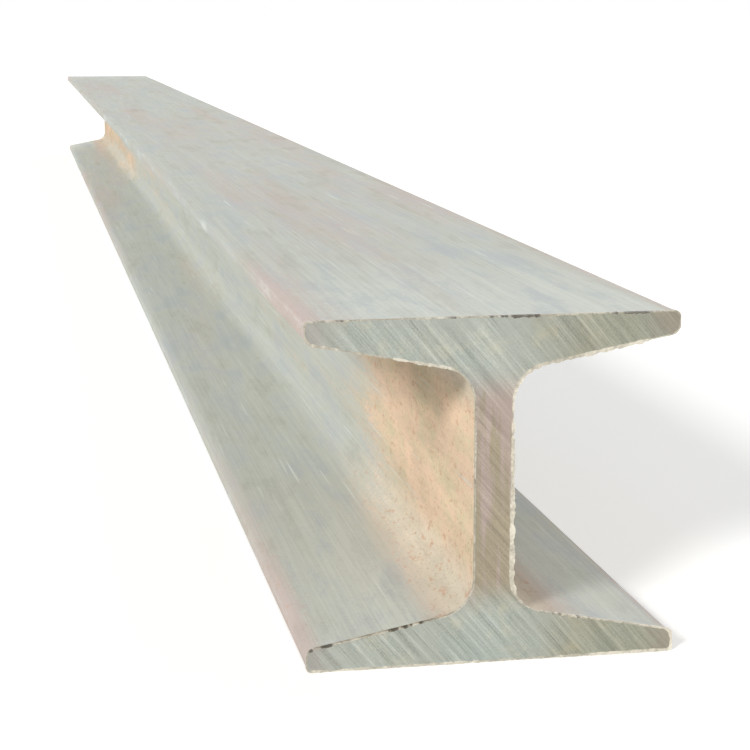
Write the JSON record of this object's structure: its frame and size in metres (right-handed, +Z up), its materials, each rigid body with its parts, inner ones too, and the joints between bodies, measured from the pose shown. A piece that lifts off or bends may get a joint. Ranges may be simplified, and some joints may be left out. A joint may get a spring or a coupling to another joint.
{
  "type": "steel i-beam",
  "caption": "Straight length of rolled steel I-section: tapered flanges, rounded toes and root fillets, ends sawn square.",
  "frame": {"origin": "middle of the lower flange's underside, halfway along the beam", "axes": "+Z up through the web, +Y along the beam, +X across the flanges"},
  "size_m": [0.1, 2, 0.093],
  "materials": {
    "rolled_steel": "mill scale with light rust, sawn ends"
  },
  "bodies": {
    "root": {"beam": "rolled_steel"}
  },
  "joints": []
}
